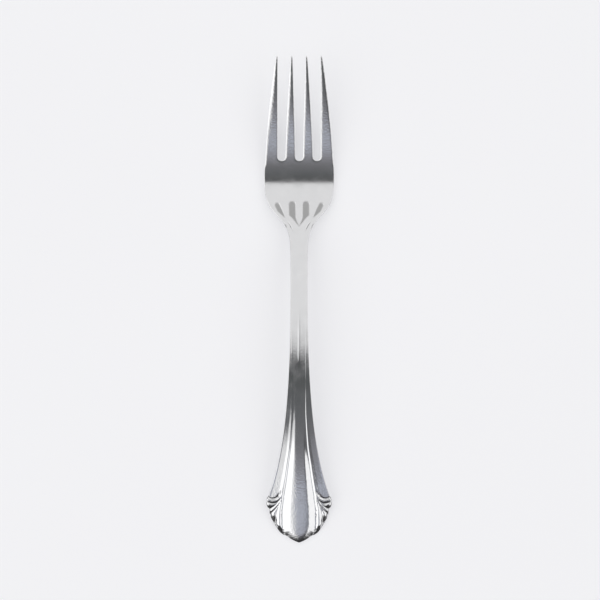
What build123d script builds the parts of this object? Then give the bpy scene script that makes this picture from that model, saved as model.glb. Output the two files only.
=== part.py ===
from build123d import *

import os
from math import exp, log

# Dinner fork pressed from one blank of stainless steel, in millimetres.
# +Y points from the handle to the tines and +Z is up, with the hollow of the head on top.
# The origin is under the middle of the fork, on the surface that it lies on.
# The metal is one piece: its regions are separate solids that meet face to face.

# Lengths along the fork
shell_length = 18.5
grip_length = 58.5
neck_length = 39.0
head_length = 33.9
tine_length = 40.1

# Widths across the fork
shell_width = 25.4
flare_width = 24.1
neck_width = 6.6
head_width = 27.6
slot_root_width = 3.0
slot_pitch = 6.9
tip_width = 0.7
tip_pitch = 5.75
tine_count = 4

# Heights of the upper surface above the table
end_height = 1.3
arch_height = 12.8
neck_fall = 4.4
tip_height = 12.3
tip_slope = 0.15

# Thicknesses of the metal
end_thickness = 2.4
neck_thickness = 3.8
bowl_thickness = 2.2
tip_thickness = 1.0

# Where the curves turn, measured from the ends of the neck and from the slots
arch_into_neck = 13.0
flare_into_neck = 23.0
shoulder_from_neck = 12.0
shoulder_softness = 2.9
bowl_from_neck = 21.7
side_bend_from_slot = 3.9
side_bend_softness = 1.5

# How far the rise of the tines follows the level bowl, and the slope of the tips
bowl_reach = 16.0
tip_reach = 28.0

# Level stretch under the bowl that the fork lies on
rest_length = 5.0

# The handle's flare is a gentle curve and a late, steep one added together
gentle_share = 0.55
gentle_power = 2.0
steep_power = 5

# How far a tine's sides belly into the slots, as a share of their taper
tine_belly = 0.12

# Relief across the handle: places as shares of its half width, falls as slopes of it
middle_share = 0.28
groove_share = 0.47
reed_share = 0.57
middle_crown = 0.012
middle_fall = 0.012
groove_fall = 0.065
reed_fall = 0.045
rim_fall = 0.1
relief_fade_length = 16.0
relief_at_head = 0.25

# Softened edges
handle_chamfer = 0.35
head_edge_radius = 0.4
tine_edge_radius = 0.22

# Shell ornament: notches in its edge and the swell of each lobe between them,
# as shares of the shell's half width and of its length, from the handle down to the point
shell_notches = ((0.99, 0.885), (0.905, 0.72), (0.715, 0.40), (0.37, 0.14))
shell_swells = ((1.0, 0.94), (0.992, 0.80), (0.875, 0.55), (0.575, 0.215), (0.18, 0.052))
fan_root = (0.44, 1.06)
crease_bow = 0.08
crease_radius = 0.5
crease_depth = 0.3
trim_allowance = 1.0

# Petals carved where the neck meets the head: upper and lower end, across and from the neck
petals = (((2.6, 17.2), (0.8, 10.0)), ((8.3, 16.6), (4.9, 10.6)))
petal_radius = 1.5
petal_end_radius = 0.5
petal_depth = 0.45
petal_end_depth = 0.15

# Number of spans that a smooth form is drawn through
shell_span_count = 3
bar_span_count = 12
shoulder_span_count = 12

# Places along the fork
overall_length = shell_length + grip_length + neck_length + head_length + tine_length
end_y = -overall_length / 2
shell_y = end_y + shell_length
neck_y = shell_y + grip_length
head_y = neck_y + neck_length
slot_y = head_y + head_length
tine_y = slot_y + slot_root_width / 2
tip_y = slot_y + tine_length
arch_y = neck_y + arch_into_neck
flare_y = neck_y + flare_into_neck
shoulder_y = head_y + shoulder_from_neck
bowl_y = head_y + bowl_from_neck
side_bend_y = slot_y - side_bend_from_slot

# Half widths, and the slopes that neighbouring curves share
shell_half = shell_width / 2
flare_half = flare_width / 2
neck_half = neck_width / 2
head_half = head_width / 2
tip_half = (tine_count - 1) / 2 * tip_pitch + tip_width / 2
side_taper = (head_half - tip_half) / (tip_y - side_bend_y)
neck_end_height = arch_height - neck_fall
neck_end_slope = -2 * neck_fall / (head_y - arch_y)
thickening = (neck_thickness - end_thickness) / (head_y - end_y)
above_all = arch_height + tip_height


def spread(start, stop, span_count):
    """Evenly spaced places from start to stop."""
    return [start + (stop - start) * step / span_count for step in range(span_count + 1)]


def half_width(y):
    """Half of the fork's width at y, with its slots filled."""
    if y < shell_y:
        return flare_half + (shell_half - flare_half) * (shell_y - y) / shell_length
    flare = max(0.0, (flare_y - y) / (flare_y - shell_y))
    curve = gentle_share * flare**gentle_power + (1 - gentle_share) * flare**steep_power
    shoulder = 1 / (1 + exp((shoulder_y - y) / shoulder_softness))
    past_bend = side_bend_softness * log(1 + exp((y - side_bend_y) / side_bend_softness))
    widening = (flare_half - neck_half) * curve + (head_half - neck_half) * shoulder
    return neck_half + widening - side_taper * past_bend


def handle_top(y):
    """Height of the handle's upper surface on its middle line: two parabolas with one summit."""
    if y < arch_y:
        return arch_height - (arch_height - end_height) * ((arch_y - y) / (arch_y - end_y)) ** 2
    return arch_height - neck_fall * ((y - arch_y) / (head_y - arch_y)) ** 2


def handle_back(y):
    """Height of the handle's underside."""
    return handle_top(y) - end_thickness - thickening * (y - end_y)


def relief_scale(y):
    """Half width that the relief is drawn to, which fades away towards the head."""
    fade = min(1.0, (head_y - y) / relief_fade_length)
    return half_width(y) * (relief_at_head + (1 - relief_at_head) * fade)


def side_panel_height(x, y):
    """Height of the panel between the reed and the rim, carried on past the rim."""
    share = (x / half_width(y) - reed_share) / (1 - reed_share)
    return handle_top(y) - (reed_fall + (rim_fall - reed_fall) * share) * relief_scale(y)


def bar_section(y, side):
    """The handle cut across at y, out to side: back, rim, side panel, reed, groove, raised middle."""
    half = half_width(y)
    top = handle_top(y)
    back = handle_back(y)
    scale = relief_scale(y)
    rim = side_panel_height(side, y)
    chamfer = min(handle_chamfer, (rim - back) / 3)
    middle = (middle_share * half, top - middle_fall * scale)
    right = [
        (side - chamfer, back),
        (side, back + chamfer),
        (side, rim - chamfer),
        (side - chamfer, side_panel_height(side - chamfer, y)),
        (reed_share * half, top - reed_fall * scale),
        (groove_share * half, top - groove_fall * scale),
        middle,
    ]
    left = [(-x, z) for x, z in right]
    with BuildSketch(Plane.XZ.offset(-y)) as section:
        with BuildLine():
            Polyline(*right)
            ThreePointArc(middle, (0, top + middle_crown * half), left[-1])
            Polyline(*reversed(left))
            Line(left[0], right[0])
        make_face()
    return section.sketch


def shell_point(across, along):
    """A point of the shell's plan from its shares of half width and length."""
    return (across * shell_half, end_y + along * shell_length)


def crease_cutter(notch, side):
    """Round groove between two lobes, from the root of the fan to a notch in the edge."""
    root = shell_point(*fan_root)
    bow = (
        (root[0] + notch[0]) / 2 - crease_bow * abs(notch[1] - root[1]),
        (root[1] + notch[1]) / 2 - crease_bow * abs(notch[0] - root[0]),
    )
    lift = crease_radius - crease_depth
    route = [(side * x, y, side_panel_height(x, y) + lift) for x, y in (root, bow, notch)]
    with BuildPart() as cutter:
        with BuildLine() as path:
            ThreePointArc(*route)
        with BuildSketch(Plane(path.line @ 0, z_dir=path.line % 0)):
            Circle(crease_radius)
        sweep()
    return cutter.part


# Scalloped end: a wider stretch of the bar, trimmed to its lobes, with creases between them.
# Its lowest corner is dressed flat where the fork rests on the table.
notches = [(flare_half, shell_y)] + [shell_point(*notch) for notch in shell_notches]
swells = [shell_point(*swell) for swell in shell_swells]
lobes = list(zip(notches, swells, notches[1:] + [(0, end_y)]))
creases = [crease_cutter(notch, side) for notch in notches[1:] for side in (-1, 1)]

with BuildPart() as shell_end:
    loft([bar_section(y, shell_half + trim_allowance) for y in spread(end_y, shell_y, shell_span_count)])
    split(bisect_by=Plane.XY, keep=Keep.TOP)
    with BuildSketch() as shell_plan:
        with BuildLine():
            for side in (-1, 1):
                for lobe in lobes:
                    ThreePointArc(*[(side * x, y) for x, y in lobe])
            Line((-flare_half, shell_y), (flare_half, shell_y))
        make_face()
    extrude(amount=above_all, mode=Mode.INTERSECT)
    for crease in creases:
        add(crease, mode=Mode.SUBTRACT)

# Handle and neck are one fluted bar that is parted where the arch begins to level out
with BuildPart() as bar:
    loft([bar_section(y, half_width(y)) for y in spread(shell_y, head_y, bar_span_count)])

with BuildPart() as handle:
    add(bar.part)
    split(bisect_by=Plane.XZ.offset(-neck_y), keep=Keep.TOP)
    for crease in creases:
        add(crease, mode=Mode.SUBTRACT)

with BuildPart() as neck:
    add(bar.part)
    split(bisect_by=Plane.XZ.offset(-neck_y), keep=Keep.BOTTOM)


def neck_to_bowl(height, slope, floor_y, floor):
    """Points that draw the curve from the neck down to the level bottom of the bowl."""
    places = spread(head_y, floor_y, 3)
    return list(zip(places, (height, height + slope * (places[1] - head_y), floor, floor)))


def bowl_to_tip(floor_y, floor, height):
    """Points that draw the curve from the level bottom of the bowl up to the tips."""
    before_tip = (tip_y - tip_reach, height - tip_slope * tip_reach)
    return [(floor_y, floor), (floor_y + bowl_reach, floor), before_tip, (tip_y, height)]


def head_profile():
    """Side view of the head: the neck falls into the bowl, and the tines rise out of it."""
    neck_back = neck_end_height - neck_thickness
    tip_back = tip_height - tip_thickness
    with BuildSketch(Plane.YZ) as profile:
        with BuildLine():
            Bezier(*neck_to_bowl(neck_end_height, neck_end_slope, bowl_y, bowl_thickness))
            Bezier(*bowl_to_tip(bowl_y, bowl_thickness, tip_height))
            Line((tip_y, tip_height), (tip_y, tip_back))
            Bezier(*bowl_to_tip(bowl_y + rest_length / 2, 0, tip_back))
            Line((bowl_y + rest_length / 2, 0), (bowl_y - rest_length / 2, 0))
            Bezier(*neck_to_bowl(neck_back, neck_end_slope - thickening, bowl_y - rest_length / 2, 0))
            Line((head_y, neck_back), (head_y, neck_end_height))
        make_face()
    return profile.sketch


def head_top(y):
    """Height of the head's upper surface between the neck and the bottom of the bowl."""
    share = (y - head_y) / (bowl_y - head_y)
    rest = 1 - share
    weights = (rest**3, 3 * rest**2 * share, 3 * rest * share**2, share**3)
    points = neck_to_bowl(neck_end_height, neck_end_slope, bowl_y, bowl_thickness)
    return sum(weight * height for weight, (_, height) in zip(weights, points))


def petal_cutter(upper, lower, side):
    """Tapered hollow with a round upper end, sunk into the root of the head."""
    ends = ((upper, petal_radius, petal_depth), (lower, petal_end_radius, petal_end_depth))
    centres = []
    for (across, from_neck), radius, depth in ends:
        y = head_y + from_neck
        centres.append(Vector(side * across, y, head_top(y) + radius - depth))
    run = centres[1] - centres[0]
    with BuildPart() as cutter:
        with BuildSketch(Plane(centres[0], z_dir=run)):
            Circle(petal_radius)
        with BuildSketch(Plane(centres[1], z_dir=run)):
            Circle(petal_end_radius)
        loft()
        with Locations(centres[0]):
            Sphere(petal_radius)
    return cutter.part


# Head, from the neck to the round bottoms of the slots
slot_count = tine_count - 1
slot_places = [(slot - (slot_count - 1) / 2) * slot_pitch for slot in range(slot_count)]
side_places = spread(head_y, tine_y, shoulder_span_count)
hollows = [petal_cutter(upper, lower, side) for upper, lower in petals for side in (-1, 1)]

with BuildPart() as head:
    extrude(head_profile(), amount=head_width, both=True)
    with BuildSketch() as head_plan:
        with BuildLine():
            right_side = Spline(*[(half_width(y), y) for y in side_places])
            left_side = Spline(*[(-half_width(y), y) for y in side_places])
            Line(right_side @ 0, left_side @ 0)
            Line(right_side @ 1, left_side @ 1)
        make_face()
        with Locations(*[(x, tine_y) for x in slot_places]):
            Circle(slot_root_width / 2, mode=Mode.SUBTRACT)
    extrude(amount=above_all, mode=Mode.INTERSECT)
    parting_faces = head.faces().filter_by(Axis.Y)
    rim_edges = head.edges().filter_by(Axis.X, reverse=True) - parting_faces.edges()
    fillet(rim_edges, radius=min(head_edge_radius, bowl_thickness / 4))
    for hollow in hollows:
        add(hollow, mode=Mode.SUBTRACT)


def tine_plan(number):
    """Plan of one tine: straight along the fork's edge, and bellied a little into the slots."""
    walls = [-half_width(tine_y)]
    for place in slot_places:
        walls += [place - slot_root_width / 2, place + slot_root_width / 2]
    walls.append(half_width(tine_y))
    root_left, root_right = walls[2 * number : 2 * number + 2]
    tip_x = (number - (tine_count - 1) / 2) * tip_pitch
    tip_left, tip_right = tip_x - tip_width / 2, tip_x + tip_width / 2
    left_belly = 0 if number == 0 else tine_belly
    right_belly = 0 if number == tine_count - 1 else tine_belly
    with BuildSketch() as plan:
        with BuildLine():
            Line((root_left, tine_y), (root_right, tine_y))
            for root, tip, belly in ((root_left, tip_left, left_belly), (root_right, tip_right, right_belly)):
                bend = (root + (tip - root) * (0.5 - 2 * belly), (tine_y + tip_y) / 2)
                Bezier((root, tine_y), bend, (tip, tip_y))
            Line((tip_left, tip_y), (tip_right, tip_y))
        make_face()
    return plan.sketch


os.makedirs("parts", exist_ok=True)

# Tines, counted from the left
for number in range(tine_count):
    tine_name = f"tine_{number + 1}"
    with BuildPart() as tine:
        extrude(head_profile(), amount=head_width, both=True)
        extrude(tine_plan(number), amount=above_all, mode=Mode.INTERSECT)
        root_face = tine.faces().sort_by(Axis.Y)[0]
        tip_limit = min(tip_width, tip_thickness) / 3
        fillet(tine.edges() - root_face.edges(), radius=min(tine_edge_radius, tip_limit))
    tine.part.label = tine_name
    export_step(tine.part, f"parts/{tine_name}.step")

head.part.label = "head"
export_step(head.part, "parts/head.step")
neck.part.label = "neck"
export_step(neck.part, "parts/neck.step")
handle.part.label = "handle"
export_step(handle.part, "parts/handle.step")
shell_end.part.label = "shell_end"
export_step(shell_end.part, "parts/shell_end.step")
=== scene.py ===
"""Dinner fork of polished stainless steel, lying on a pale table and seen from straight above.

The fork is pressed from one blank. One sheet is shaped to the plan of the blank, raised to its
side view, sunk by its ornament and given its thickness, and is then parted into the eight regions
that the frame names. The fork's sizes are in millimetres, and each finished mesh is brought to
metres. Finish, table, light and camera are in metres.
"""

import logging
import math
from collections.abc import Iterable
from dataclasses import dataclass, field
from enum import Enum

import bmesh
import bpy
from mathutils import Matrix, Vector


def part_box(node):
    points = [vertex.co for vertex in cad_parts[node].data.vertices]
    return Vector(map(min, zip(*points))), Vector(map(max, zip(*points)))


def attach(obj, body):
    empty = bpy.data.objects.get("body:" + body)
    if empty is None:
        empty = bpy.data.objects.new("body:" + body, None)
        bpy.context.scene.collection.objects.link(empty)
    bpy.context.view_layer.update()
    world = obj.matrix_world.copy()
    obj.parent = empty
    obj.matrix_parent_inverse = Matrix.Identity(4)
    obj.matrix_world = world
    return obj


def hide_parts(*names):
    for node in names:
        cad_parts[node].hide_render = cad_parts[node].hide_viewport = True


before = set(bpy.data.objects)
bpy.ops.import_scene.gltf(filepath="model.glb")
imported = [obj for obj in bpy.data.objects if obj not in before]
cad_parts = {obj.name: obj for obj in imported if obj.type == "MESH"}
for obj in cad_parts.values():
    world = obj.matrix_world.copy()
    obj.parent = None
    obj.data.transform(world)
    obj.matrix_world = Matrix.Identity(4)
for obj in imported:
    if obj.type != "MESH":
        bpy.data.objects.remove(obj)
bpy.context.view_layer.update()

MM = 0.001
BODY = "root"

log = logging.getLogger("dinner_fork")

Point = tuple[float, float]
Span = tuple[float, float]
Knots = tuple[tuple[float, float], ...]
Colour = tuple[float, float, float]
Socket = bpy.types.NodeSocket
Feed = Socket | float | tuple[float, ...]


def clamp(value: float) -> float:
    """Limits a share to the range from 0 to 1."""
    return min(1.0, max(0.0, value))


def ease(start: float, stop: float, value: float) -> float:
    """Rises smoothly from 0 at start to 1 at stop."""
    share = clamp((value - start) / (stop - start))
    return share * share * (3 - 2 * share)


def blend(start: float, stop: float, share: float) -> float:
    """Goes from start to stop by a share."""
    return start + (stop - start) * share


def follow(knots: Knots, place: float, smooth: bool = True) -> float:
    """Reads a line that is drawn through knots.

    Args:
        knots: Places in rising order, each with its value.
        place: Where the line is read. Before the first and after the last knot it is level.
        smooth: Whether the line is level at each knot, or runs straight between them.

    Returns:
        The line's value at the place.
    """
    if place <= knots[0][0]:
        return knots[0][1]
    for (start, low), (stop, high) in zip(knots, knots[1:]):
        if place <= stop:
            share = ease(start, stop, place) if smooth else (place - start) / (stop - start)
            return blend(low, high, share)
    return knots[-1][1]


class Region(Enum):
    """Regions of the blank, named as the nodes of the frame."""

    SHELL_END = "shell_end"
    HANDLE = "handle"
    NECK = "neck"
    HEAD = "head"
    TINE_1 = "tine_1"
    TINE_2 = "tine_2"
    TINE_3 = "tine_3"
    TINE_4 = "tine_4"


TINES = (Region.TINE_1, Region.TINE_2, Region.TINE_3, Region.TINE_4)
MIDDLE_OF_TINES = (len(TINES) - 1) / 2
SLOTS_FROM_MIDDLE = (-1, 0, 1)


@dataclass(frozen=True)
class Places:
    """Where the regions begin and end along the fork, from the handle's end to the tips."""

    end: float
    shell: float
    neck: float
    head: float
    tine: float
    tip: float

    @classmethod
    def from_frame(cls) -> "Places":
        """Reads the places from the solids of the frame."""
        spans = {}
        for region in Region:
            spans[region] = [round(corner.y / MM, 2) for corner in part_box(region.value)]
        return cls(
            end=spans[Region.SHELL_END][0],
            shell=spans[Region.HANDLE][0],
            neck=spans[Region.NECK][0],
            head=spans[Region.HEAD][0],
            tine=spans[Region.TINE_1][0],
            tip=spans[Region.TINE_1][1],
        )


@dataclass(frozen=True)
class Arc:
    """One lobe of the shell's edge: a part of a circle that bulges outwards."""

    start: Point
    swell: Point
    stop: Point

    def circle(self) -> tuple[Point, float]:
        """Centre and radius of the circle through the three points."""
        (ax, ay), (bx, by), (cx, cy) = self.start, self.swell, self.stop
        scale = 2 * (ax * (by - cy) + bx * (cy - ay) + cx * (ay - by))
        a2, b2, c2 = ax * ax + ay * ay, bx * bx + by * by, cx * cx + cy * cy
        x = (a2 * (by - cy) + b2 * (cy - ay) + c2 * (ay - by)) / scale
        y = (a2 * (cx - bx) + b2 * (ax - cx) + c2 * (bx - ax)) / scale
        return (x, y), math.hypot(ax - x, ay - y)

    def turn(self) -> tuple[float, float]:
        """Angle of the start seen from the centre, and the turn from there to the stop."""
        (x, y), _ = self.circle()
        first = math.atan2(self.start[1] - y, self.start[0] - x)
        last = math.atan2(self.stop[1] - y, self.stop[0] - x)
        return first, math.remainder(last - first, math.tau)

    def length(self) -> float:
        """Length along the lobe."""
        return self.circle()[1] * abs(self.turn()[1])

    def point(self, share: float) -> Point:
        """Point of the lobe at a share of its length."""
        (x, y), radius = self.circle()
        first, turn = self.turn()
        angle = first + turn * share
        return x + radius * math.cos(angle), y + radius * math.sin(angle)


def point_along(arcs: Iterable[Arc], share: float) -> Point:
    """Point at a share of the length of a chain of lobes."""
    chain = [(arc, arc.length()) for arc in arcs]
    left = share * sum(length for _, length in chain)
    for arc, length in chain:
        if left <= length:
            return arc.point(left / length)
        left -= length
    return chain[-1][0].stop


@dataclass(frozen=True)
class Outline:
    """Plan of the blank: flare, neck, shoulders, tines with their slots, and scalloped end."""

    places: Places
    shell_half: float = 12.7
    shell_length: float = 18.5
    flare_half: float = 12.05
    neck_half: float = 3.3
    head_half: float = 13.8
    flare_past_neck: float = 23.0
    gentle_share: float = 0.55
    gentle_power: float = 2.0
    steep_power: float = 5.0
    shoulder_past_head: float = 12.0
    shoulder_softness: float = 2.9
    bend_before_tine: float = 5.4
    bend_softness: float = 1.5
    slot_radius: float = 1.5
    slot_pitch: float = 6.9
    tip_half: float = 0.35
    tip_pitch: float = 5.75
    tine_belly: float = 0.12
    # Shares of the shell's half width and length.
    notches: tuple[Point, ...] = ((0.99, 0.885), (0.905, 0.72), (0.715, 0.40), (0.37, 0.14))
    swells: tuple[Point, ...] = (
        (1.0, 0.94), (0.992, 0.80), (0.875, 0.55), (0.575, 0.215), (0.18, 0.052))
    side_lobe_count: int = 3
    slope_step: float = 0.05
    lobes: tuple[Arc, ...] = field(init=False)
    circles: tuple[tuple[Point, float], ...] = field(init=False)

    def __post_init__(self) -> None:
        """Draws the lobes of the right half of the shell."""
        corners = [(self.flare_half, self.places.shell)]
        corners += [self.shell_point(notch) for notch in self.notches]
        corners.append((0.0, self.places.end))
        swells = [self.shell_point(swell) for swell in self.swells]
        lobes = tuple(Arc(*points) for points in zip(corners, swells, corners[1:]))
        object.__setattr__(self, "lobes", lobes)
        object.__setattr__(self, "circles", tuple(lobe.circle() for lobe in lobes))

    def shell_point(self, shares: Point) -> Point:
        """Point of the shell from its shares of half width and of length."""
        across, along = shares
        return across * self.shell_half, self.places.end + along * self.shell_length

    def half_width(self, y: float) -> float:
        """Half of the fork's width at y, with its slots filled and its scallops left out."""
        flare_y = self.places.neck + self.flare_past_neck
        flare = clamp((flare_y - y) / (flare_y - self.places.shell))
        curve = blend(flare**self.steep_power, flare**self.gentle_power, self.gentle_share)
        shoulder_y = self.places.head + self.shoulder_past_head
        shoulder = 1 / (1 + math.exp((shoulder_y - y) / self.shoulder_softness))
        bend_y = self.places.tine - self.bend_before_tine
        past_bend = self.bend_softness * math.log1p(math.exp((y - bend_y) / self.bend_softness))
        tips_half = MIDDLE_OF_TINES * self.tip_pitch + self.tip_half
        taper = (self.head_half - tips_half) / (self.places.tip - bend_y)
        widening = (self.flare_half - self.neck_half) * curve
        widening += (self.head_half - self.neck_half) * shoulder
        return self.neck_half + widening - taper * past_bend

    def root_walls(self) -> list[float]:
        """Sides of tines and slots across the fork, where the tines begin."""
        root_half = self.half_width(self.places.tine)
        walls = [-root_half]
        for slot in SLOTS_FROM_MIDDLE:
            middle = slot * self.slot_pitch
            walls += [middle - self.slot_radius, middle + self.slot_radius]
        return walls + [root_half]

    def wall(self, number: int, y: float) -> float:
        """Side of a tine or slot, which runs on through the handle at the same share of the width."""
        root = self.root_walls()[number]
        if y <= self.places.tine:
            return root * self.half_width(y) / self.half_width(self.places.tine)
        tine, side = divmod(number, 2)
        tip = (tine - MIDDLE_OF_TINES) * self.tip_pitch + (2 * side - 1) * self.tip_half
        share = (y - self.places.tine) / (self.places.tip - self.places.tine)
        return blend(root, tip, share * (1 - 4 * self.tine_belly * (1 - share)))

    def shell_edge(self, x: float, y: float, numbers: Iterable[int]) -> tuple[float, int, float]:
        """Finds the place of the scalloped edge that is nearest to a point of the shell.

        Args:
            x: Distance from the middle line.
            y: Place along the fork.
            numbers: Numbers of the lobes that count.

        Returns:
            How far the point lies inside the edge, the number of the lobe and the share along it.
        """
        spots = []
        for number in numbers:
            lobe = self.lobes[number]
            (cx, cy), radius = self.circles[number]
            first, turn = lobe.turn()
            share = math.remainder(math.atan2(y - cy, abs(x) - cx) - first, math.tau) / turn
            if 0 <= share <= 1:
                spots.append((radius - math.hypot(abs(x) - cx, y - cy), number, share))
            spots.append((math.dist((abs(x), y), lobe.start), number, 0.0))
        distance, number, share = min(spots)
        return max(0.0, distance), number, share

    def edge_distance(self, x: float, y: float) -> float:
        """How far a point of the plan lies inside the nearest edge."""
        if y < self.places.shell:
            return self.shell_edge(x, y, range(len(self.lobes)))[0]
        if y > self.places.tine:
            return self.tine_edge_distance(x, y)
        step = self.slope_step
        slope = (self.half_width(y + step) - self.half_width(y - step)) / (2 * step)
        side = (self.half_width(y) - abs(x)) / math.hypot(1.0, slope)
        slots = [
            math.hypot(x - slot * self.slot_pitch, y - self.places.tine) - self.slot_radius
            for slot in SLOTS_FROM_MIDDLE
        ]
        return max(0.0, min(side, *slots))

    def tine_sides(self, x: float, y: float) -> tuple[float, float]:
        """Both sides of the tine that a point lies on, or is nearest to."""
        sides = [self.wall(number, y) for number in range(2 * len(TINES))]
        return max(zip(sides[::2], sides[1::2]), key=lambda pair: min(x - pair[0], pair[1] - x))

    def tine_edge_distance(self, x: float, y: float) -> float:
        """How far a point of a tine lies inside its sides and its round tip."""
        left, right = self.tine_sides(x, y)
        distance = min(x - left, right - x)
        tip_y = self.places.tip - self.tip_half
        if y > tip_y:
            distance = min(distance, self.tip_half - math.hypot(x - (left + right) / 2, y - tip_y))
        return max(0.0, distance)


@dataclass(frozen=True)
class SideView:
    """Heights of the blank's upper and lower surface along the fork's middle line."""

    places: Places
    end_height: float = 1.3
    arch_height: float = 12.785
    arch_past_neck: float = 13.0
    neck_fall: float = 4.4
    end_thickness: float = 2.4
    neck_thickness: float = 3.8
    bowl_past_head: float = 21.85
    bowl_thickness: float = 2.2
    rest_length: float = 5.0
    bowl_reach: float = 14.5
    tip_reach: float = 26.0
    tip_height: float = 12.3
    tip_thickness: float = 1.0
    tip_slope: float = 0.11
    halvings: int = 30

    @property
    def bowl(self) -> float:
        """Place of the bottom of the bowl."""
        return self.places.head + self.bowl_past_head

    @property
    def thickening(self) -> float:
        """How much thicker the bar gets along each millimetre towards the head."""
        return (self.neck_thickness - self.end_thickness) / (self.places.head - self.places.end)

    def bar_top(self, y: float) -> float:
        """Upper surface of handle and neck: two parabolas with one summit."""
        summit = self.places.neck + self.arch_past_neck
        if y < summit:
            share = (summit - y) / (summit - self.places.end)
            return self.arch_height - (self.arch_height - self.end_height) * share**2
        return self.arch_height - self.neck_fall * ((y - summit) / (self.places.head - summit)) ** 2

    def neck_slope(self) -> float:
        """Slope of the upper surface where the neck meets the head."""
        summit = self.places.neck + self.arch_past_neck
        return -2 * self.neck_fall / (self.places.head - summit)

    def fall(self, y: float, floor_y: float, floor: float, height: float, slope: float) -> float:
        """Curve from the neck down to the level floor of the bowl."""
        run = floor_y - self.places.head
        share = clamp((y - self.places.head) / run)
        heights = (height, height + slope * run / 3, floor, floor)
        return bezier(heights, share)

    def rise(self, y: float, floor_y: float, floor: float, height: float) -> float:
        """Curve from the level floor of the bowl up to the tips."""
        tip = self.places.tip
        places = (floor_y, floor_y + self.bowl_reach, tip - self.tip_reach, tip)
        low, high = 0.0, 1.0
        for _ in range(self.halvings):
            share = (low + high) / 2
            if bezier(places, share) < y:
                low = share
            else:
                high = share
        heights = (floor, floor, height - self.tip_slope * self.tip_reach, height)
        return bezier(heights, low)

    def top(self, y: float) -> float:
        """Height of the upper surface before its ornament."""
        if y < self.places.head:
            return self.bar_top(y)
        if y < self.bowl:
            height = self.arch_height - self.neck_fall
            return self.fall(y, self.bowl, self.bowl_thickness, height, self.neck_slope())
        return self.rise(y, self.bowl, self.bowl_thickness, self.tip_height)

    def back(self, y: float) -> float:
        """Height of the lower surface before the fork's rest is dressed flat."""
        if y < self.places.head:
            return self.bar_top(y) - self.end_thickness - self.thickening * (y - self.places.end)
        if y < self.bowl - self.rest_length / 2:
            height = self.arch_height - self.neck_fall - self.neck_thickness
            slope = self.neck_slope() - self.thickening
            return self.fall(y, self.bowl - self.rest_length / 2, 0.0, height, slope)
        if y < self.bowl + self.rest_length / 2:
            return 0.0
        height = self.tip_height - self.tip_thickness
        return self.rise(y, self.bowl + self.rest_length / 2, 0.0, height)


def bezier(values: tuple[float, ...], share: float) -> float:
    """Reads a cubic curve from its four control values."""
    rest = 1 - share
    weights = (rest**3, 3 * rest**2 * share, 3 * rest * share**2, share**3)
    return sum(weight * value for weight, value in zip(weights, values))


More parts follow.
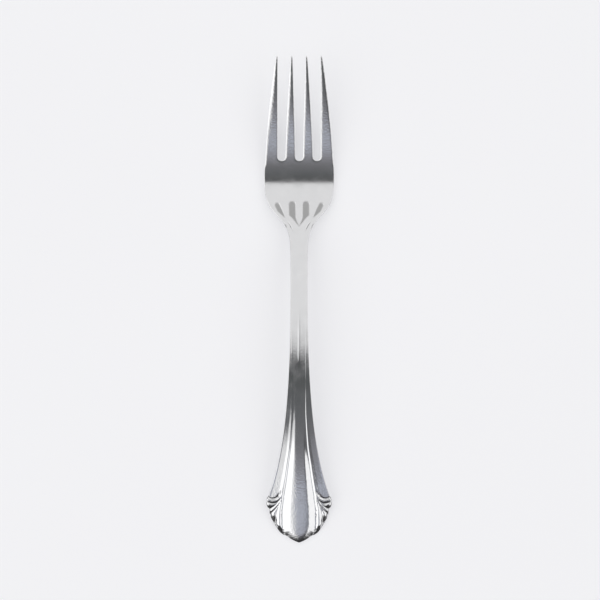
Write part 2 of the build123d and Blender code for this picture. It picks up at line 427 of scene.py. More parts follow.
@dataclass(frozen=True)
class HandleRelief:
    """Raised middle of the handle and, on each side of it, a groove, a reed and a side panel.

    The lines of depth are read at the distance from the handle's end.
    """

    outline: Outline
    groove_share: float = 0.46
    shell_groove_share: float = 0.50
    flat_share: float = 0.58
    shell_flat_share: float = 0.62
    spread_run: Span = (29.0, 39.0)
    flat_run: Span = (23.0, 30.0)
    shoulder: float = 0.08
    least_groove: float = 2.45
    crown_shares: Knots = ((5.0, 0.62), (10.0, 0.6), (17.0, 0.45))
    groove_depths: Knots = (
        (1.0, 0.45), (3.0, 0.8), (6.0, 1.1), (18.5, 1.1), (23.0, 0.85), (30.0, 0.55), (38.0, 0.22),
        (42.0, 0.14), (48.0, 0.075), (54.0, 0.04), (66.0, 0.024), (80.0, 0.016), (92.0, 0.004))
    reed_heights: Knots = (
        (10.0, 0.05), (18.5, 0.4), (23.0, 0.4), (30.0, 0.25), (38.0, 0.1), (46.0, 0.06), (54.0, 0.032),
        (62.0, 0.012), (76.0, 0.006), (90.0, 0.002))
    reed_width_share: float = 0.12
    panel_falls: Knots = (
        (18.5, 0.45), (28.0, 0.36), (38.0, 0.24), (44.0, 0.14), (48.0, 0.09), (54.0, 0.05), (62.0, 0.02),
        (80.0, 0.0))
    panel_line: Knots = ((0.14, 0.0), (0.45, 0.52), (1.0, 1.0))
    rim_share: float = 0.075
    tongue_half: float = 6.8
    widening_length: float = 6.0
    taper_from: float = 8.0
    taper_length: float = 3.87

    def spread(self, y: float) -> float:
        """How far the raised middle has widened into the tongue of the shell."""
        return 1 - ease(*self.spread_run, y - self.outline.places.end)

    def groove_place(self, y: float) -> float:
        """How far from the middle line the groove beside the raised middle runs."""
        places = self.outline.places
        if y >= places.shell:
            share = blend(self.groove_share, self.shell_groove_share, self.spread(y))
            return max(self.least_groove, share * self.outline.half_width(y))
        start = self.shell_groove_share * self.outline.flare_half
        tapering = max(0.0, (places.end + self.taper_from - y) / self.taper_length) ** 2
        widened = ease(0.0, self.widening_length, places.shell - y)
        return blend(start, self.tongue_half, widened) - tapering

    def groove_depth(self, y: float) -> float:
        """Depth of the groove below the raised middle."""
        return follow(self.groove_depths, y - self.outline.places.end, smooth=False)

    def middle_fall(self, x: float, y: float) -> float:
        """Depth below the middle line, inside the grooves: a flat top and straight flanks."""
        widened = 1 - ease(*self.flat_run, y - self.outline.places.end)
        flat = blend(self.flat_share, self.shell_flat_share, widened)
        past = abs(x) / self.groove_place(y) - flat
        whole = 1 - flat
        share = (past + math.hypot(past, self.shoulder)) / (whole + math.hypot(whole, self.shoulder))
        crown_share = follow(self.crown_shares, y - self.outline.places.end)
        crown = crown_share * min(1.0, abs(x) / self.groove_place(y)) ** 2
        return self.groove_depth(y) * blend(share, 1.0, crown)

    def side_fall(self, x: float, y: float) -> float:
        """Depth below the middle line, outside the grooves."""
        from_end = y - self.outline.places.end
        half = self.outline.half_width(max(y, self.outline.places.shell))
        groove = self.groove_place(y)
        share = (abs(x) - groove) / ((1 - self.rim_share) * half - groove)
        reed = follow(self.reed_heights, from_end, smooth=False)
        reed *= ease(0.0, self.reed_width_share, share)
        panel_fall = follow(self.panel_falls, from_end, smooth=False)
        return self.groove_depth(y) - reed + panel_fall * follow(self.panel_line, share, smooth=False)


@dataclass(frozen=True)
class Crease:
    """Valley between two gadroons, drawn from the fan's root to a point of the shell's edge."""

    stop: Point
    root_angle: float
    power: float
    bow: float = 0.0

    def angle(self, outline: Outline, root: Point, distance: float) -> float:
        """Direction of the valley at a distance from the root.

        Args:
            outline: Plan that the stop's shares belong to.
            root: Root of the fan.
            distance: Distance from the root.

        Returns:
            The direction in degrees.
        """
        x, y = outline.shell_point(self.stop)
        share = clamp(distance / math.dist((x, y), root))
        stop_angle = math.degrees(math.atan2(y - root[1], x - root[0]))
        straight = blend(self.root_angle, stop_angle, share**self.power)
        return straight + self.bow * math.sin(math.pi * share)


@dataclass(frozen=True)
class ShellFan:
    """Gadroons on both sides of the tongue, spread from one root to the lobes of the shell's edge."""

    outline: Outline
    relief: HandleRelief
    root_shares: Point = (0.457, 1.124)
    creases: tuple[Crease, ...] = (
        Crease((0.945, 0.98), -47.0, 4.5),
        Crease((0.99, 0.885), -66.0, 4.0),
        Crease((0.905, 0.72), -73.0, 1.2),
        Crease((0.885, 0.62), -77.0, 1.3),
        Crease((0.715, 0.40), -80.0, 1.0, bow=7.5),
    )
    bulge_share: float = 0.16
    most_bulge: float = 0.4
    bulge_power: float = 2.2
    bulge_run: Span = (1.0, 4.0)
    panel_dip: float = 0.25
    panel_dip_width: float = 0.35
    panel_dip_from: float = 2.5
    panel_dip_dull: float = 0.5
    patina_from: float = 0.85

    def fall(self, x: float, y: float) -> tuple[float, float] | None:
        """Depth of the fan below the fork's middle line.

        Args:
            x: Distance from the middle line.
            y: Place along the fork.

        Returns:
            The depth, and how far polish misses the place, or None above the fan.
        """
        root = self.outline.shell_point(self.root_shares)
        groove = self.relief.groove_place(y)
        across = abs(x)
        if y > root[1] or across < groove:
            return None
        distance = math.dist((across, y), root)
        angle = math.degrees(math.atan2(y - root[1], across - root[0]))
        edges = [crease.angle(self.outline, root, distance) for crease in self.creases]
        edges.append(math.degrees(math.atan2(y - root[1], groove - root[0])))
        gap = math.radians(angle - edges[0]) * distance
        dip = math.exp(-((gap / self.panel_dip_width) ** 2)) * ease(0.0, self.panel_dip_from, distance)
        floor = self.relief.side_fall(x, y) + self.panel_dip * dip
        if angle > edges[0]:
            return floor, self.panel_dip_dull * dip
        for upper, lower in zip(edges, edges[1:]):
            if angle >= lower:
                width = math.radians(upper - lower) * distance
                place = abs(2 * (upper - angle) / (upper - lower) - 1)
                bulge = min(self.bulge_share * width, self.most_bulge) * ease(*self.bulge_run, distance)
                return floor - bulge * (1 - place**self.bulge_power), ease(self.patina_from, 1.0, place)
        return None


@dataclass(frozen=True)
class Stroke:
    """A line with round ends that widens or narrows along its way, given as x, y and radius."""

    points: tuple[tuple[float, float, float], ...]

    def inside(self, x: float, y: float) -> float:
        """How far a point lies inside the stroke. Outside it, the distance is negative."""
        best = -math.inf
        for (ax, ay, a_radius), (bx, by, b_radius) in zip(self.points, self.points[1:]):
            run_x, run_y = bx - ax, by - ay
            share = clamp(((x - ax) * run_x + (y - ay) * run_y) / (run_x**2 + run_y**2))
            gap = math.hypot(x - ax - share * run_x, y - ay - share * run_y)
            best = max(best, blend(a_radius, b_radius, share) - gap)
        return best


@dataclass(frozen=True)
class HeadPetals:
    """Satin petals sunk where the neck spreads into the head, with the veins that lead to them.

    The strokes are those of the right half, and start from where the head begins.
    """

    places: Places
    petal_depth: float = 0.1
    petal_lip: float = 0.1
    petal_wall: float = 0.45
    vein_depth: float = 0.16
    vein_wall: float = 0.22
    vein_dull: float = 0.9
    petals: tuple[Stroke, ...] = (
        Stroke((
            (2.7, 16.6, 1.5), (2.65, 13.0, 1.5), (1.9, 11.3, 0.8), (1.1, 9.8, 0.5), (0.1, 8.2, 0.25))),
        Stroke(((8.6, 16.4, 1.1), (7.6, 14.4, 1.1), (5.8, 11.9, 0.4))),
    )
    veins: tuple[Stroke, ...] = (
        Stroke(((4.4, 9.7, 0.2), (3.4, 8.3, 0.25), (2.5, 6.4, 0.2))),
        Stroke(((5.6, 9.2, 0.22), (4.7, 7.5, 0.22))),
    )

    def fall(self, x: float, y: float) -> tuple[float, float]:
        """Depth of petals and veins, and how far polish misses the place."""
        past_head = y - self.places.head
        petal = max(stroke.inside(abs(x), past_head) for stroke in self.petals)
        vein = max(stroke.inside(abs(x), past_head) for stroke in self.veins)
        sunk = ease(-self.petal_lip, self.petal_wall, petal)
        cut = ease(0.0, self.vein_wall, vein)
        return max(self.petal_depth * sunk, self.vein_depth * cut), max(sunk, self.vein_dull * cut)


@dataclass(frozen=True)
class NeckLines:
    """Fine raised lines that run along the neck: one in the middle and one near each side.

    The run gives their share of the full height at places along the fork.
    """

    outline: Outline
    middle_height: float = 0.065
    middle_width: float = 0.45
    side_height: float = 0.03
    side_width: float = 0.36
    side_share: float = 0.74
    run: Knots = ((-28.0, 0.0), (-19.0, 0.8), (-13.0, 1.0), (-2.0, 0.9), (10.0, 0.5), (26.0, 0.0))

    def rise(self, x: float, y: float) -> float:
        """Height of the lines."""
        side = self.side_share * self.outline.half_width(y)
        middle = self.middle_height * math.exp(-((x / self.middle_width) ** 2))
        beside = self.side_height * math.exp(-(((abs(x) - side) / self.side_width) ** 2))
        return max(middle, beside) * follow(self.run, y)


@dataclass(frozen=True)
class TineRelief:
    """Slight crown across each tine and across their row, and edges drawn down beside the slots.

    The runs are distances from where the tines begin, over which these forms set in.
    """

    outline: Outline
    crown_share: float = 0.048
    crown_run: Span = (0.0, 34.0)
    row_crown: float = 0.34
    draw_depth: float = 0.07
    draw_width: float = 1.0
    draw_run: Span = (-5.0, -3.0)

    def fall(self, x: float, y: float) -> float:
        """Depth below the plain surface of the head and tines."""
        past_root = y - self.outline.places.tine
        left, right = self.outline.tine_sides(x, y)
        across = clamp(abs(2 * (x - left) / (right - left) - 1))
        crown = self.crown_share * (right - left) * across**2
        crown += self.row_crown * (x / self.outline.head_half) ** 2
        near = clamp(1 - self.outline.edge_distance(x, y) / self.draw_width)
        drawn = self.draw_depth * near**2 * ease(*self.draw_run, past_root)
        return blend(drawn, crown, ease(*self.crown_run, past_root))


@dataclass
class ForkBlank:
    """The whole fork as one closed sheet of metal."""

    outline: Outline
    side_view: SideView
    relief: HandleRelief
    fan: ShellFan
    petals: HeadPetals
    neck_lines: NeckLines
    tine_relief: TineRelief
    rounding_steps: int = 4
    slot_columns: int = 12
    inner_tine_columns: int = 18
    outer_tine_columns: int = 24
    shell_rows: int = 76
    handle_rows: int = 66
    neck_rows: int = 40
    head_rows: int = 78
    tine_rows: int = 64
    tip_pull_length: float = 2.5
    slot_pull_length: float = 9.0
    # Width and slope of the roll at the edge of each lobe, from the handle down to the point.
    lobe_rolls: tuple[tuple[float, float], ...] = (
        (0.5, 0.8), (1.4, 0.7), (2.2, 0.7), (3.4, 0.6), (3.0, 0.27))
    lobe_lean: float = 1.6
    least_roll: float = 0.4
    widest_rounding_share: float = 0.4
    soft_edge_past_head: float = 14.0
    crisp_edge_past_head: float = 22.0
    edge_radii: Knots = field(init=False)
    back_radii: Knots = field(init=False)

    def __post_init__(self) -> None:
        """Sets how the upper and the lower edges are rounded along the fork."""
        places = self.outline.places
        self.edge_radii = (
            (places.shell, 0.25),
            (places.neck, 0.15),
            (places.head + self.soft_edge_past_head, 0.3),
            (places.head + self.crisp_edge_past_head, 0.15),
            (places.tine, 0.1),
            (places.tip, 0.1),
        )
        self.back_radii = (
            (places.end, 0.15),
            (places.shell, 0.2),
            (places.neck, 0.5),
            (places.head, 0.5),
            (places.tine, 0.2),
            (places.tip, 0.12),
        )

    def edge_radius(self, y: float) -> float:
        """Radius of the rounded edge at y."""
        return follow(self.edge_radii, y, smooth=False)

    def rounding(self, step: int) -> float:
        """Distance from the edge of a line of points on the rounded edge, as a share of its radius."""
        return 1 - math.sin(math.pi / 2 * (1 - step / self.rounding_steps))

    def strips(self) -> list[int]:
        """Number of columns of each tine and slot from left to right."""
        outer, inner, slot = self.outer_tine_columns, self.inner_tine_columns, self.slot_columns
        return [outer, slot, inner, slot, inner, slot, outer]

    def columns(self) -> list[tuple[int, int]]:
        """Strip and step of every line of points that runs along the fork."""
        spots = [(strip, step) for strip, count in enumerate(self.strips()) for step in range(count)]
        return spots + [(len(self.strips()) - 1, self.outer_tine_columns)]

    def column_x(self, strip: int, step: int, y: float) -> float:
        """Where a line of points crosses y. It keeps to the rounded edges, or bunches up in a slot."""
        left, right = self.outline.wall(strip, y), self.outline.wall(strip + 1, y)
        count = self.strips()[strip]
        if strip % 2:
            return blend(left, right, (1 - math.cos(math.pi * step / count)) / 2)
        radius = min(self.edge_radius(y), self.widest_rounding_share * (right - left))
        if step <= self.rounding_steps:
            return left + radius * self.rounding(step)
        if step >= count - self.rounding_steps:
            return right - radius * self.rounding(count - step)
        share = (step - self.rounding_steps) / (count - 2 * self.rounding_steps)
        return blend(left + radius, right - radius, share)

    def row_places(self) -> list[float]:
        """Place along the fork of every line of points across it, from the shell to the tips."""
        places = self.outline.places
        rows = []
        spans = (
            (places.shell, places.neck, self.handle_rows),
            (places.neck, places.head, self.neck_rows),
            (places.head, places.tine, self.head_rows),
            (places.tine, places.tip, self.tine_rows),
        )
        for start, stop, count in spans:
            bunched = stop in (places.tine, places.tip)
            radius = self.edge_radius(stop) if bunched else 0.0
            last = stop - radius
            rows += [blend(start, last, step / count) for step in range(count)]
            if bunched:
                steps = range(self.rounding_steps, 0, -1)
                rows += [stop - radius * self.rounding(step) for step in steps]
        return rows + [places.tip]

    def shell_shares(self) -> list[float]:
        """Shares of the way from the scalloped edge up to the handle, for the rows of the shell."""
        band = self.edge_radius(self.outline.places.shell) / self.outline.shell_length
        edge = [band * self.rounding(step) for step in range(self.rounding_steps)]
        return edge + [blend(band, 1.0, step / self.shell_rows) for step in range(self.shell_rows)]

    def shell_spot(self, strip: int, step: int, share: float) -> Point:
        """Point of the shell's plan, between the handle, the side lobes and the lowest lobes."""
        outline = self.outline
        top = (self.column_x(strip, step, outline.places.shell), outline.places.shell)
        across = top[0] / outline.flare_half
        side_lobes = outline.lobes[: outline.side_lobe_count]
        low_lobes = outline.lobes[outline.side_lobe_count:]
        side = point_along(side_lobes, 1 - share)
        low = point_along(low_lobes, 1 - abs(across))
        bottom = (math.copysign(low[0], across), low[1])
        start, stop = side_lobes[0].start, side_lobes[-1].stop
        x = blend(bottom[0], top[0], share) + across * (side[0] - blend(stop[0], start[0], share))
        y = blend(bottom[1], top[1], share) + side[1] - blend(stop[1], start[1], share)
        return x, y

    def bar_spot(self, strip: int, step: int, y: float) -> Point:
        """Point of the plan above the shell, with the round slot bottoms and tips pulled in."""
        places = self.outline.places
        x = self.column_x(strip, step, y)
        if y <= places.tine and strip % 2:
            pull = self.outline.slot_radius * math.sin(math.pi * step / self.slot_columns)
            return x, y - pull * clamp(1 - (places.tine - y) / self.slot_pull_length) ** 2
        if y > places.tine:
            left, right = self.outline.wall(strip, y), self.outline.wall(strip + 1, y)
            across = clamp(abs(2 * (x - left) / (right - left) - 1))
            pull = self.outline.tip_half * (1 - math.sqrt(1 - across**2))
            return x, y - pull * clamp(1 - (places.tip - y) / self.tip_pull_length) ** 2
        return x, y

    def top_height(self, x: float, y: float) -> tuple[float, float]:
        """Height of the upper surface.

        Args:
            x: Distance from the middle line.
            y: Place along the fork.

        Returns:
            The height, and how far polish misses the place.
        """
        places = self.outline.places
        height = self.side_view.top(y)
        dull = 0.0
        if y < places.head:
            spread = self.fan.fall(x, y)
            if spread is not None:
                fall, dull = spread
            elif abs(x) < self.relief.groove_place(y):
                fall = self.relief.middle_fall(x, y)
            else:
                fall = self.relief.side_fall(x, y)
            height -= fall
        else:
            fall, dull = self.petals.fall(x, y)
            height -= fall
        if places.shell < y < self.side_view.bowl:
            height += self.neck_lines.rise(x, y)
        if y > self.side_view.bowl:
            height -= self.tine_relief.fall(x, y)
        if y < places.shell:
            return height - self.shell_roll(x, y), dull
        return height - self.rounded_drop(self.edge_radius(y), self.outline.edge_distance(x, y)), dull

    @staticmethod
    def rounded_drop(radius: float, distance: float) -> float:
        """How far a rounded edge of that radius lies below the plain surface, at a distance from it."""
        short = max(0.0, radius - distance)
        return radius - math.sqrt(max(0.0, radius**2 - short**2))

    @staticmethod
    def rolled_drop(width: float, slope: float, distance: float) -> float:
        """How far an edge lies below the surface, where it rolls evenly to a slope over a width."""
        return slope * max(0.0, width - distance) ** 2 / (2 * width)

    def shell_roll(self, x: float, y: float) -> float:
        """How far the shell has rolled down to its edge: most low on a lobe, and at the point."""
        point = len(self.lobe_rolls) - 1
        on_tongue = abs(x) < self.relief.groove_place(y)
        numbers = (point,) if on_tongue else range(point)
        distance, number, share = self.outline.shell_edge(x, y, numbers)
        width, slope = self.lobe_rolls[number]
        if on_tongue:
            return self.rolled_drop(width, slope, distance)
        fullness = math.sqrt(math.sin(math.pi * share**self.lobe_lean))
        return self.rolled_drop(blend(self.least_roll, width, fullness), slope, distance)

    def back_height(self, x: float, y: float) -> float:
        """Height of the lower surface, which is dressed flat where the fork rests."""
        radius = follow(self.back_radii, y, smooth=False)
        rounding = self.rounded_drop(radius, self.outline.edge_distance(x, y))
        return max(0.0, self.side_view.back(y)) + rounding

    def region_at(self, x: float, y: float) -> Region:
        """The region that a point of the plan belongs to."""
        places = self.outline.places
        if y > places.tine:
            number = round(x / self.outline.slot_pitch + MIDDLE_OF_TINES)
            return TINES[min(max(number, 0), len(TINES) - 1)]
        if y > places.head:
            return Region.HEAD
        if y > places.neck:
            return Region.NECK
        return Region.HANDLE if y > places.shell else Region.SHELL_END

    def flat_sheet(self) -> bmesh.types.BMesh:
        """Lays out the plan of the fork as a flat sheet with its slots cut out, in millimetres."""
        columns, shell, rows = self.columns(), self.shell_shares(), self.row_places()
        column_count, row_count = len(columns) - 1, len(shell) + len(rows) - 1
        bm = bmesh.new()
        bmesh.ops.create_grid(bm, x_segments=column_count, y_segments=row_count, size=1.0)
        first_tine_row = len(shell) + rows.index(self.outline.places.tine)
        in_slot = []
        for face in bm.faces:
            middle = face.calc_center_median()
            column = int((middle.x + 1) / 2 * column_count)
            row = int((middle.y + 1) / 2 * row_count)
            if row >= first_tine_row and columns[column][0] % 2:
                in_slot.append(face)
        bmesh.ops.delete(bm, geom=in_slot, context="FACES")
        for vert in bm.verts:
            strip, step = columns[round((vert.co.x + 1) / 2 * column_count)]
            row = round((vert.co.y + 1) / 2 * row_count)
            if row > first_tine_row and strip % 2:
                strip, step = strip - 1, self.strips()[strip - 1]
            if row < len(shell):
                spot = self.shell_spot(strip, step, shell[row])
            else:
                spot = self.bar_spot(strip, step, rows[row - len(shell)])
            vert.co = (*spot, 0.0)
        return bm

    def build(self) -> bmesh.types.BMesh:
        """Makes the closed mesh of the whole fork, in millimetres.

        Returns:
            The mesh, with the layer "dull" for places that polish misses.
        """
        bm = self.flat_sheet()
        dull_layer = bm.verts.layers.float.new("dull")
        raised = bmesh.ops.extrude_face_region(bm, geom=bm.faces[:])["geom"]
        upper = {element for element in raised if isinstance(element, bmesh.types.BMVert)}
        for vert in bm.verts:
            if vert in upper:
                vert.co.z, vert[dull_layer] = self.top_height(vert.co.x, vert.co.y)
            else:
                vert.co.z = self.back_height(vert.co.x, vert.co.y)
        bmesh.ops.recalc_face_normals(bm, faces=bm.faces[:])
        for face in bm.faces:
            face.smooth = True
        return bm


def into_scene(bm: bmesh.types.BMesh, name: str) -> bpy.types.Object:
    """Makes an object of the scene from a bmesh, and frees the bmesh."""
    mesh = bpy.data.meshes.new(name)
    bm.to_mesh(mesh)
    bm.free()
    made = bpy.data.objects.new(name, mesh)
    bpy.context.scene.collection.objects.link(made)
    return made


@dataclass(frozen=True)
class FinishNodes:
    """Nodes of a finish or of the room's light, each added with what feeds it."""

    tree: bpy.types.NodeTree

    def add(
        self, kind: str, feeds: dict[str | int, Feed] | None = None, **choices: str
    ) -> bpy.types.Node:
        """Adds a node.

        Args:
            kind: Name of the node's type, without its beginning ShaderNode.
            feeds: Inputs of the node, each with its value or with the socket that it is linked to.
            choices: Options of the node, which are set before its inputs are fed.

        Returns:
            The node.
        """
        node = self.tree.nodes.new("ShaderNode" + kind)
        for name, choice in choices.items():
            setattr(node, name, choice)
        self.feed(node, feeds or {})
        return node

    def feed(self, node: bpy.types.Node, feeds: dict[str | int, Feed]) -> None:
        """Links inputs of a node to their sockets, or sets them to their values.

        Args:
            node: The node.
            feeds: Inputs by name or number, each with a socket, a number, a vector or a colour.
        """
        for name, feed in feeds.items():
            socket = node.inputs[name]
            if isinstance(feed, Socket):
                self.tree.links.new(feed, socket)
            elif socket.type == "RGBA":
                socket.default_value = (*feed, 1.0)
            else:
                socket.default_value = feed

    def noise(self, vector: Socket, scale: float, detail: float) -> Socket:
        """Adds an uneven pattern, with a number of patches along a metre."""
        feeds = {"Vector": vector, "Scale": scale, "Detail": detail}
        return self.add("TexNoise", feeds).outputs["Fac"]

    def mix(self, factor: Socket, first: Feed, second: Colour) -> Socket:
        """Adds a mix of two colours, of which the factor says how much the second shows."""
        feeds = {"Factor": factor, "A": first, "B": second}
        return self.add("Mix", feeds, data_type="RGBA").outputs["Result"]

    def span(self, value: Socket, old: Span, new: Span, **choices: str) -> Socket:
        """Adds a step that brings a value from an old range to a new one."""
        feeds = {
            "Value": value,
            "From Min": old[0],
            "From Max": old[1],
            "To Min": new[0],
            "To Max": new[1],
        }
        return self.add("MapRange", feeds, **choices).outputs["Result"]

    def ramp(self, value: Socket, stops: tuple[tuple[float, Colour], ...]) -> Socket:
        """Adds a line of colours.

        Args:
            value: Socket of the value by which the line is read.
            stops: Values in rising order, each with its colour.

        Returns:
            Socket of the colour.
        """
        first, last = stops[0][0], stops[-1][0]
        node = self.add("ValToRGB", {"Fac": self.span(value, (first, last), (0.0, 1.0))})
        elements = node.color_ramp.elements
        elements.remove(elements[1])
        for number, (place, colour) in enumerate(stops):
            share = (place - first) / (last - first)
            stop = elements.new(share) if number else elements[0]
            stop.position = share
            stop.color = (*colour, 1.0)
        return node.outputs["Color"]


@dataclass(frozen=True)
class PolishedSteel:
    """Bright polished stainless steel with the fine scratches, dents and smudges of use."""

    colour: Colour = (0.75, 0.75, 0.76)
    smudge_colour: Colour = (0.69, 0.69, 0.70)
    dull_colour: Colour = (0.38, 0.38, 0.38)
    bright_roughness: float = 0.06
    worn_roughness: float = 0.14
    worn_range: Span = (0.35, 0.75)
    dull_roughness: float = 0.42
    pattern_detail: float = 4.0
    smudge_scale: float = 260.0
    dent_scale: float = 1500.0
    dent_depth: float = 0.000045
    # Share of dents along the fork: most on the shell and on the tines.
    used: Knots = ((-0.078, 1.0), (-0.06, 0.15), (0.052, 0.1), (0.062, 0.7))
    scratch_scale: float = 1400.0
    scratch_stretch: float = 0.05
    scratch_depth: float = 0.000003

    def material(self) -> bpy.types.Material:
        """Makes the node material of the finish."""
        material = bpy.data.materials.new("polished_stainless_steel")
        material.use_nodes = True
        nodes = FinishNodes(material.node_tree)
        place = nodes.add("TexCoord").outputs["Object"]
        along = nodes.add("SeparateXYZ", {"Vector": place}).outputs["Y"]
        drawn_out = nodes.add("Mapping", {"Vector": place, "Scale": (1.0, self.scratch_stretch, 1.0)})
        smudges = nodes.noise(place, self.smudge_scale, self.pattern_detail)
        dents = nodes.noise(place, self.dent_scale, self.pattern_detail)
        scratches = nodes.noise(drawn_out.outputs["Vector"], self.scratch_scale, self.pattern_detail)
        dull = nodes.add("Attribute", attribute_name="dull").outputs["Fac"]
        colour = nodes.mix(smudges, self.colour, self.smudge_colour)
        worn = nodes.span(smudges, self.worn_range, (self.bright_roughness, self.worn_roughness))
        roughness = nodes.add("Mix", {"Factor": dull, "A": worn, "B": self.dull_roughness})
        used = nodes.ramp(along, tuple((y, (share, share, share)) for y, share in self.used))
        dented = nodes.add("Bump", {"Height": dents, "Distance": self.dent_depth, "Strength": used})
        scratched = nodes.add("Bump", {
            "Height": scratches,
            "Distance": self.scratch_depth,
            "Normal": dented.outputs["Normal"],
        })
        nodes.feed(material.node_tree.nodes["Principled BSDF"], {
            "Metallic": 1.0,
            "Base Color": nodes.mix(dull, colour, self.dull_colour),
            "Roughness": roughness.outputs["Result"],
            "Normal": scratched.outputs["Normal"],
        })
        return material


@dataclass
class Fork:
    """The fork's eight regions as pieces, parted from the whole blank with their shading kept."""

    blank: ForkBlank
    finish: PolishedSteel

    def build(self) -> list[bpy.types.Object]:
        """Builds the blank, parts it and dresses the pieces.

        Returns:
            One object for each region.
        """
        whole = self.blank.build()
        normal_layer = whole.verts.layers.float_vector.new("whole_normal")
        whole.normal_update()
        for vert in whole.verts:
            vert[normal_layer] = vert.normal
        material = self.finish.material()
        pieces = [self.part(whole, region) for region in Region]
        whole.free()
        for piece in pieces:
            piece.data.materials.append(material)
            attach(piece, BODY)
        return pieces

    def part(self, whole: bmesh.types.BMesh, region: Region) -> bpy.types.Object:
        """Cuts one region out of the blank and closes it at its parting faces.

        Args:
            whole: Mesh of the whole blank, in millimetres.
            region: The region to keep.

        Returns:
            The piece, in metres, which stands for the region's node.
        """
        bm = whole.copy()
        spare = []
        for face in bm.faces:
            middle = face.calc_center_median()
            if self.blank.region_at(middle.x, middle.y) is not region:
                spare.append(face)
        bmesh.ops.delete(bm, geom=spare, context="FACES")
        open_edges = [edge for edge in bm.edges if edge.is_boundary]
        caps = bmesh.ops.holes_fill(bm, edges=open_edges, sides=0)["faces"]
        for cap in caps:
            cap.smooth = False
        bmesh.ops.recalc_face_normals(bm, faces=bm.faces[:])
        bmesh.ops.scale(bm, vec=Vector((MM, MM, MM)), verts=bm.verts[:])
        piece = into_scene(bm, region.value + "_steel")
        self.keep_shading(piece.data)
        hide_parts(region.value)
        return piece

    @staticmethod
    def keep_shading(mesh: bpy.types.Mesh) -> None:
        """Shades a parted mesh as the whole blank was, so that no seam shows at its parting faces."""
        whole_normals = mesh.attributes["whole_normal"].data
        normals = []
        for face in mesh.polygons:
            for corner in face.loop_indices:
                vertex = mesh.loops[corner].vertex_index
                normals.append(whole_normals[vertex].vector if face.use_smooth else face.normal)
        mesh.normals_split_custom_set([tuple(normal) for normal in normals])
        mesh.attributes.remove(mesh.attributes["whole_normal"])


@dataclass
class Table:
    """Pale table top that the fork lies on. It is lit from within too, so that shadows stay faint."""

    width: float = 4.0
    drop: float = 0.00003
    colour: Colour = (0.46, 0.46, 0.465)
    shade: Colour = (0.44, 0.44, 0.445)
    shade_scale: float = 6.0
    shade_detail: float = 2.0
    glow: Colour = (0.47, 0.47, 0.485)
    roughness: float = 0.6

    def build(self) -> bpy.types.Object:
        """Makes the table top just under the fork.

        Returns:
            The table top.
        """
        bm = bmesh.new()
        bmesh.ops.create_grid(bm, x_segments=1, y_segments=1, size=self.width / 2)
        bmesh.ops.translate(bm, vec=Vector((0.0, 0.0, -self.drop)), verts=bm.verts[:])
        table = into_scene(bm, "table_top")
        table.data.materials.append(self.material())
        return table

    def material(self) -> bpy.types.Material:
        """Makes the matt white finish, which varies a little."""
        material = bpy.data.materials.new("matt_white_table")
        material.use_nodes = True
        nodes = FinishNodes(material.node_tree)
        place = nodes.add("TexCoord").outputs["Object"]
        patches = nodes.noise(place, self.shade_scale, self.shade_detail)
        nodes.feed(material.node_tree.nodes["Principled BSDF"], {
            "Base Color": nodes.mix(patches, self.colour, self.shade),
            "Roughness": self.roughness,
            "Specular IOR Level": 0.0,
            "Emission Color": self.glow,
            "Emission Strength": 1.0,
        })
        return material


class Axis(Enum):
    """Axes of the room."""

    ACROSS = "X"
    ALONG = "Y"
    UP = "Z"


@dataclass(frozen=True)
class Fade:
    """How a panel of light begins along one axis of the room: from nothing at start to all at stop."""

    axis: Axis
    start: float
    stop: float

    def share(self, nodes: FinishNodes, axes: bpy.types.Node, full: float) -> Socket:
        """Adds the nodes of the fade.

        Args:
            nodes: Nodes of the room.
            axes: Node with the parts of the direction that is looked in.
            full: Value at the stop. At the start it is 0.

        Returns:
            Socket of the value.
        """
        limits = (min(self.start, self.stop), max(self.start, self.stop))
        values = (0.0, full) if self.start < self.stop else (full, 0.0)
        part = axes.outputs[self.axis.value]
        return nodes.span(part, limits, values, interpolation_type="SMOOTHSTEP")


@dataclass(frozen=True)
class LightPanel:
    """An even light on a part of the room, which covers what lies behind it, all of it or a share."""

    level: float
    fades: tuple[Fade, ...]
    cover: float = 1.0

    def hang(self, nodes: FinishNodes, axes: bpy.types.Node, behind: Socket) -> Socket:
        """Hangs the panel in the room.

        Args:
            nodes: Nodes of the room.
            axes: Node with the parts of the direction that is looked in.
            behind: Light that the panel covers.

        Returns:
            Socket of the light with the panel in it.
        """
        first, *others = self.fades
        share = first.share(nodes, axes, self.cover)
        for fade in others:
            factors = {0: share, 1: fade.share(nodes, axes, 1.0)}
            share = nodes.add("Math", factors, operation="MULTIPLY").outputs["Value"]
        return nodes.mix(share, behind, (self.level, self.level, self.level))


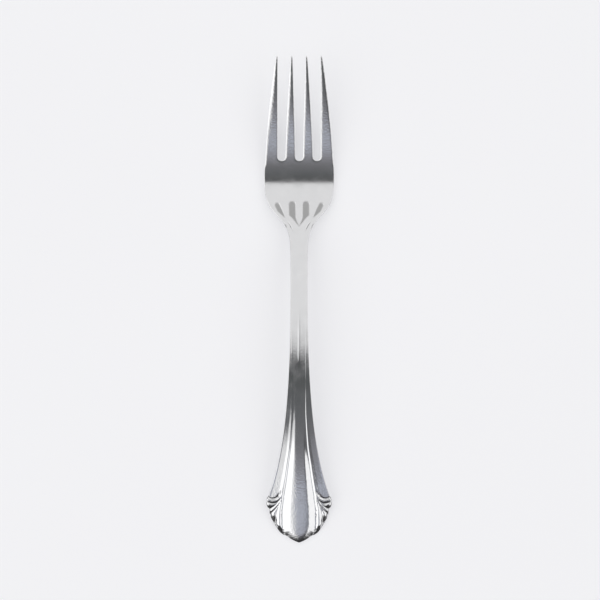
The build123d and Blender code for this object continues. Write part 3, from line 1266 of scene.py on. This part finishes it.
@dataclass
class Studio:
    """Soft white room: bright to the left and beyond the tines, with a dim gap above the handle."""

    # Light by the lean of a look along the fork, from the handle's end at -1 to beyond the tips at 1.
    along: tuple[tuple[float, Colour], ...] = (
        (-1.0, (0.05, 0.05, 0.05)),
        (-0.85, (0.06, 0.06, 0.06)),
        (-0.72, (0.16, 0.16, 0.17)),
        (-0.62, (0.31, 0.31, 0.34)),
        (-0.56, (0.42, 0.43, 0.48)),
        (-0.50, (0.54, 0.57, 0.65)),
        (-0.47, (0.60, 0.63, 0.71)),
        (-0.44, (0.43, 0.45, 0.51)),
        (-0.415, (0.33, 0.33, 0.36)),
        (-0.34, (0.20, 0.20, 0.21)),
        (-0.25, (0.145, 0.15, 0.155)),
        (-0.16, (0.11, 0.115, 0.115)),
        (-0.134, (0.11, 0.11, 0.115)),
        (-0.111, (0.38, 0.38, 0.38)),
        (-0.088, (0.83, 0.83, 0.83)),
        (-0.06, (0.91, 0.91, 0.91)),
        (0.0, (0.95, 0.95, 0.95)),
        (1.0, (0.95, 0.95, 0.95)),
    )
    panels: tuple[LightPanel, ...] = (
        LightPanel(0.94, (Fade(Axis.ACROSS, -0.085, -0.12),)),
        LightPanel(1.5, (Fade(Axis.ACROSS, -0.15, -0.26), Fade(Axis.ALONG, 0.0, -0.1))),
        LightPanel(0.05, (Fade(Axis.ACROSS, 0.12, 0.24), Fade(Axis.ALONG, 0.03, -0.09)), cover=0.5),
        LightPanel(1.25, (Fade(Axis.ACROSS, 0.3, 0.38),)),
        LightPanel(0.05, (Fade(Axis.ALONG, -0.6, -0.8),)),
        LightPanel(0.07, (Fade(Axis.UP, 0.4, 0.2),)),
    )
    lamp_power: float = 1.0
    lamp_size: float = 0.9
    lamp_place: tuple[float, float, float] = (-0.7, 0.35, 1.1)

    def build(self) -> None:
        """Lights the scene with the room and one large soft lamp."""
        scene = bpy.context.scene
        scene.view_settings.view_transform = "Standard"
        scene.world = self.room()
        light = bpy.data.lights.new("soft_lamp", "AREA")
        light.energy = self.lamp_power
        light.size = self.lamp_size
        lamp = bpy.data.objects.new("soft_lamp", light)
        lamp.location = self.lamp_place
        lamp.rotation_euler = (-Vector(self.lamp_place)).to_track_quat("-Z", "Y").to_euler()
        scene.collection.objects.link(lamp)

    def room(self) -> bpy.types.World:
        """Makes the room's light from the direction that is looked in."""
        world = bpy.data.worlds.new("white_room")
        world.use_nodes = True
        nodes = FinishNodes(world.node_tree)
        direction = nodes.add("TexCoord").outputs["Generated"]
        axes = nodes.add("SeparateXYZ", {"Vector": direction})
        light = nodes.ramp(axes.outputs[Axis.ALONG.value], self.along)
        for panel in self.panels:
            light = panel.hang(nodes, axes, light)
        nodes.feed(world.node_tree.nodes["Background"], {"Color": light})
        return world


@dataclass(frozen=True)
class PhotoCamera:
    """Camera straight above the fork, as in the photograph."""

    height: float = 1.0
    seen_width: float = 0.2357
    sensor: float = 36.0
    ahead: float = 0.00022
    aside: float = 0.00037

    def build(self) -> bpy.types.Object:
        """Makes the camera and gives it to the scene.

        Returns:
            The camera's object.
        """
        data = bpy.data.cameras.new("photo_camera")
        data.sensor_width = self.sensor
        data.lens = self.sensor * self.height / self.seen_width
        camera = bpy.data.objects.new("photo_camera", data)
        camera.location = (self.aside, self.ahead, self.height)
        bpy.context.scene.collection.objects.link(camera)
        bpy.context.scene.camera = camera
        return camera


def main() -> None:
    """Builds the fork, its table, the light and the camera."""
    logging.basicConfig(level=logging.INFO, format="%(name)s: %(message)s")
    places = Places.from_frame()
    outline = Outline(places)
    relief = HandleRelief(outline)
    blank = ForkBlank(
        outline=outline,
        side_view=SideView(places),
        relief=relief,
        fan=ShellFan(outline, relief),
        petals=HeadPetals(places),
        neck_lines=NeckLines(outline),
        tine_relief=TineRelief(outline),
    )
    for piece in Fork(blank, PolishedSteel()).build():
        log.info("%s: %d faces", piece.name, len(piece.data.polygons))
    Table().build()
    Studio().build()
    PhotoCamera().build()


if __name__ == "__main__":
    main()
